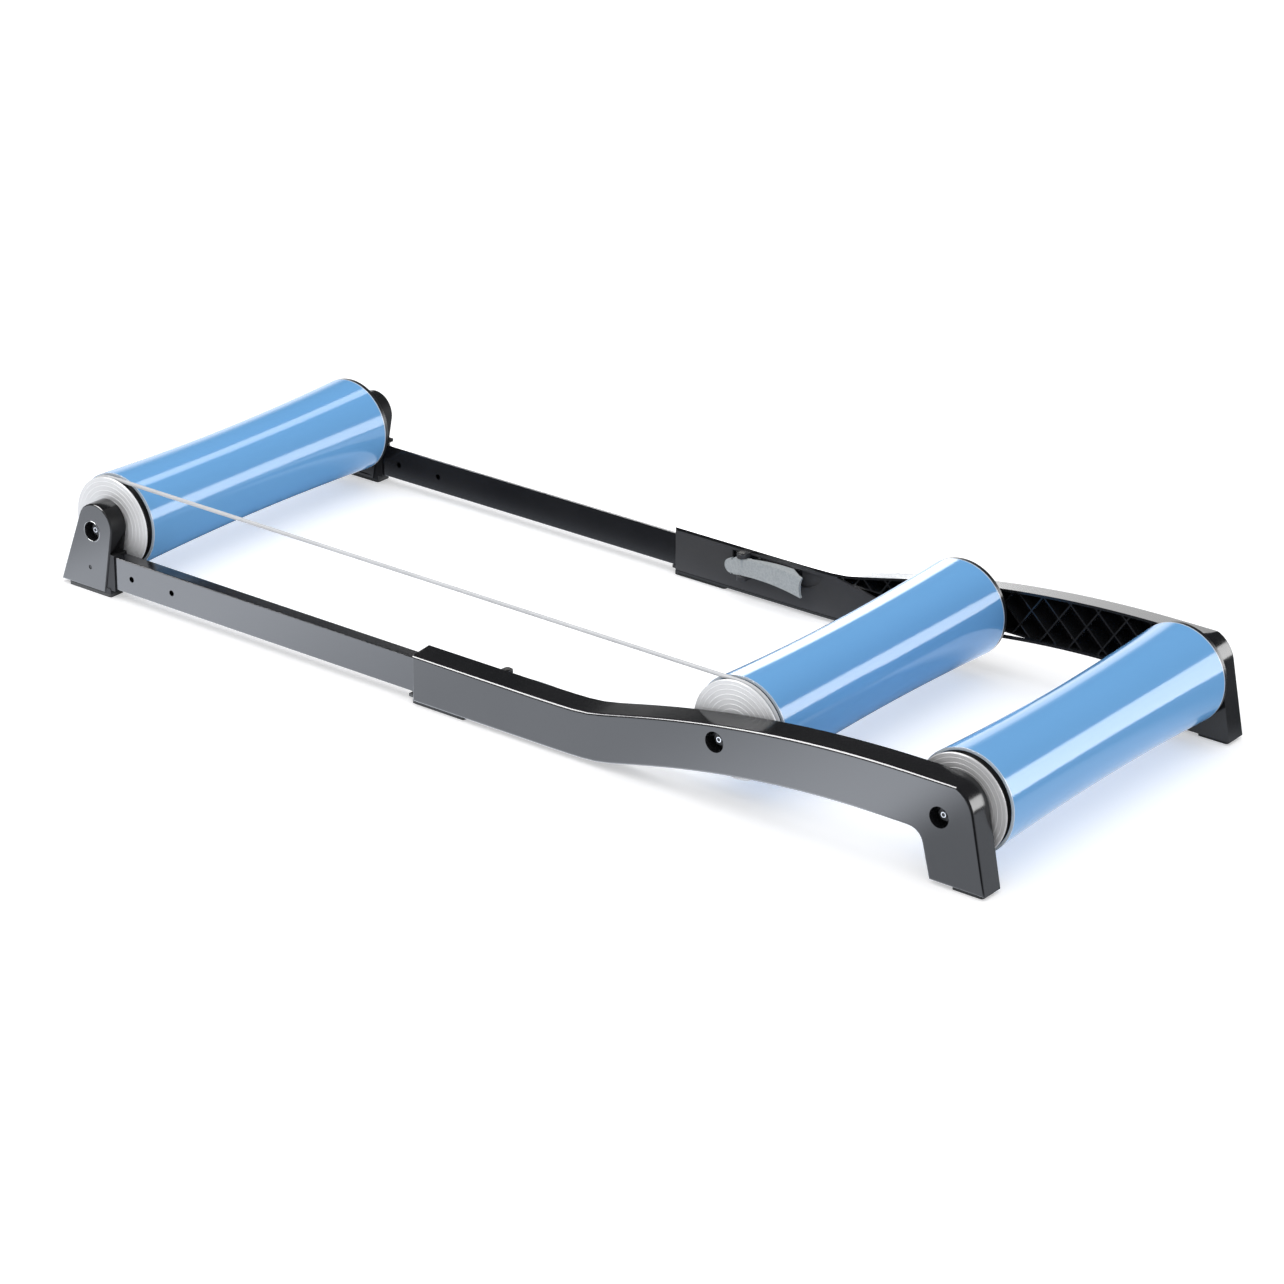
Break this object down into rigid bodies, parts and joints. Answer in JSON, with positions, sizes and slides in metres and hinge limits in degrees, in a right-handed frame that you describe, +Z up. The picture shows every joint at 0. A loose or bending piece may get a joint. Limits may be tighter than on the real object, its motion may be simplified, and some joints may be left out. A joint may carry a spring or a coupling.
{
  "type": "bicycle training rollers",
  "caption": "Bicycle training rollers: concave drums on bearings in an arched frame that telescopes for storage, with a round drive belt and two latches.",
  "frame": {"origin": "on the floor, under the middle of the opened frame", "axes": "+X towards the front roller, +Y to the rider's left (belt side), +Z up"},
  "size_m": [1.274, 0.49, 0.1315],
  "materials": {
    "frame_black": "satin moulded plastic",
    "bar_black": "satin black powder coat",
    "roller_blue": "glossy blue",
    "hub_black": "satin black",
    "disc_grey": "satin pale grey",
    "lever_grey": "satin light grey",
    "foot_rubber": "matt black",
    "belt": "translucent white round belt",
    "steel": "bright zinc",
    "screw_black": "black oxide"
  },
  "bodies": {
    "outer_frame": {"left_outer_rail": "frame_black", "right_outer_rail": "frame_black", "left_sleeve_cover": "frame_black", "right_sleeve_cover": "frame_black", "left_mouth_bush": "hub_black", "right_mouth_bush": "hub_black", "left_mid_foot": "foot_rubber", "right_mid_foot": "foot_rubber", "left_rear_foot": "foot_rubber", "right_rear_foot": "foot_rubber", "left_latch_pin": "steel", "right_latch_pin": "steel", "mid_axle": "steel", "mid_left_nut": "steel", "mid_right_nut": "steel", "rear_axle": "steel", "rear_left_nut": "steel", "rear_right_nut": "steel", "drive_belt": "belt"},
    "inner_frame": {"left_slide_bar": "bar_black", "right_slide_bar": "bar_black", "left_bar_plug": "hub_black", "right_bar_plug": "hub_black", "left_front_bracket": "frame_black", "right_front_bracket": "frame_black", "left_front_foot": "foot_rubber", "right_front_foot": "foot_rubber", "left_bracket_screw": "screw_black", "right_bracket_screw": "screw_black", "front_axle": "steel", "front_left_nut": "steel", "front_right_nut": "steel"},
    "front_roller": {"front_shell": "roller_blue", "front_left_hub": "hub_black", "front_left_disc": "disc_grey", "front_right_hub": "hub_black", "front_left_bearing": "steel", "front_right_bearing": "steel"},
    "mid_roller": {"mid_shell": "roller_blue", "mid_left_hub": "hub_black", "mid_left_disc": "disc_grey", "mid_right_hub": "hub_black", "mid_left_bearing": "steel", "mid_right_bearing": "steel"},
    "rear_roller": {"rear_shell": "roller_blue", "rear_left_hub": "hub_black", "rear_left_disc": "disc_grey", "rear_right_hub": "hub_black", "rear_left_bearing": "steel", "rear_right_bearing": "steel"},
    "left_latch": {"left_latch_lever": "lever_grey"},
    "right_latch": {"right_latch_lever": "lever_grey"}
  },
  "joints": [
    {"name": "frame_slide", "type": "slide", "parent": "outer_frame", "child": "inner_frame", "axis": [-1, 0, 0], "range_m": [0, 0.44], "deforming": ["drive_belt"]},
    {"name": "front_spin", "type": "hinge", "parent": "inner_frame", "child": "front_roller", "pos_m": [0.5805, 0, 0.075], "axis": [0, 1, 0], "continuous": true},
    {"name": "mid_spin", "type": "hinge", "parent": "outer_frame", "child": "mid_roller", "pos_m": [-0.3055, 0, 0.075], "axis": [0, 1, 0], "continuous": true},
    {"name": "rear_spin", "type": "hinge", "parent": "outer_frame", "child": "rear_roller", "pos_m": [-0.5805, 0, 0.075], "axis": [0, 1, 0], "continuous": true},
    {"name": "left_latch_swing", "type": "hinge", "parent": "outer_frame", "child": "left_latch", "pos_m": [-0.002, 0.207, 0.04], "axis": [0, 0, 1], "range_deg": [0, 16]},
    {"name": "right_latch_swing", "type": "hinge", "parent": "outer_frame", "child": "right_latch", "pos_m": [-0.002, -0.207, 0.04], "axis": [0, 0, -1], "range_deg": [0, 16]}
  ],
  "couplings": [
    {"joint": "front_spin", "follows": "mid_spin", "ratio": 1}
  ]
}
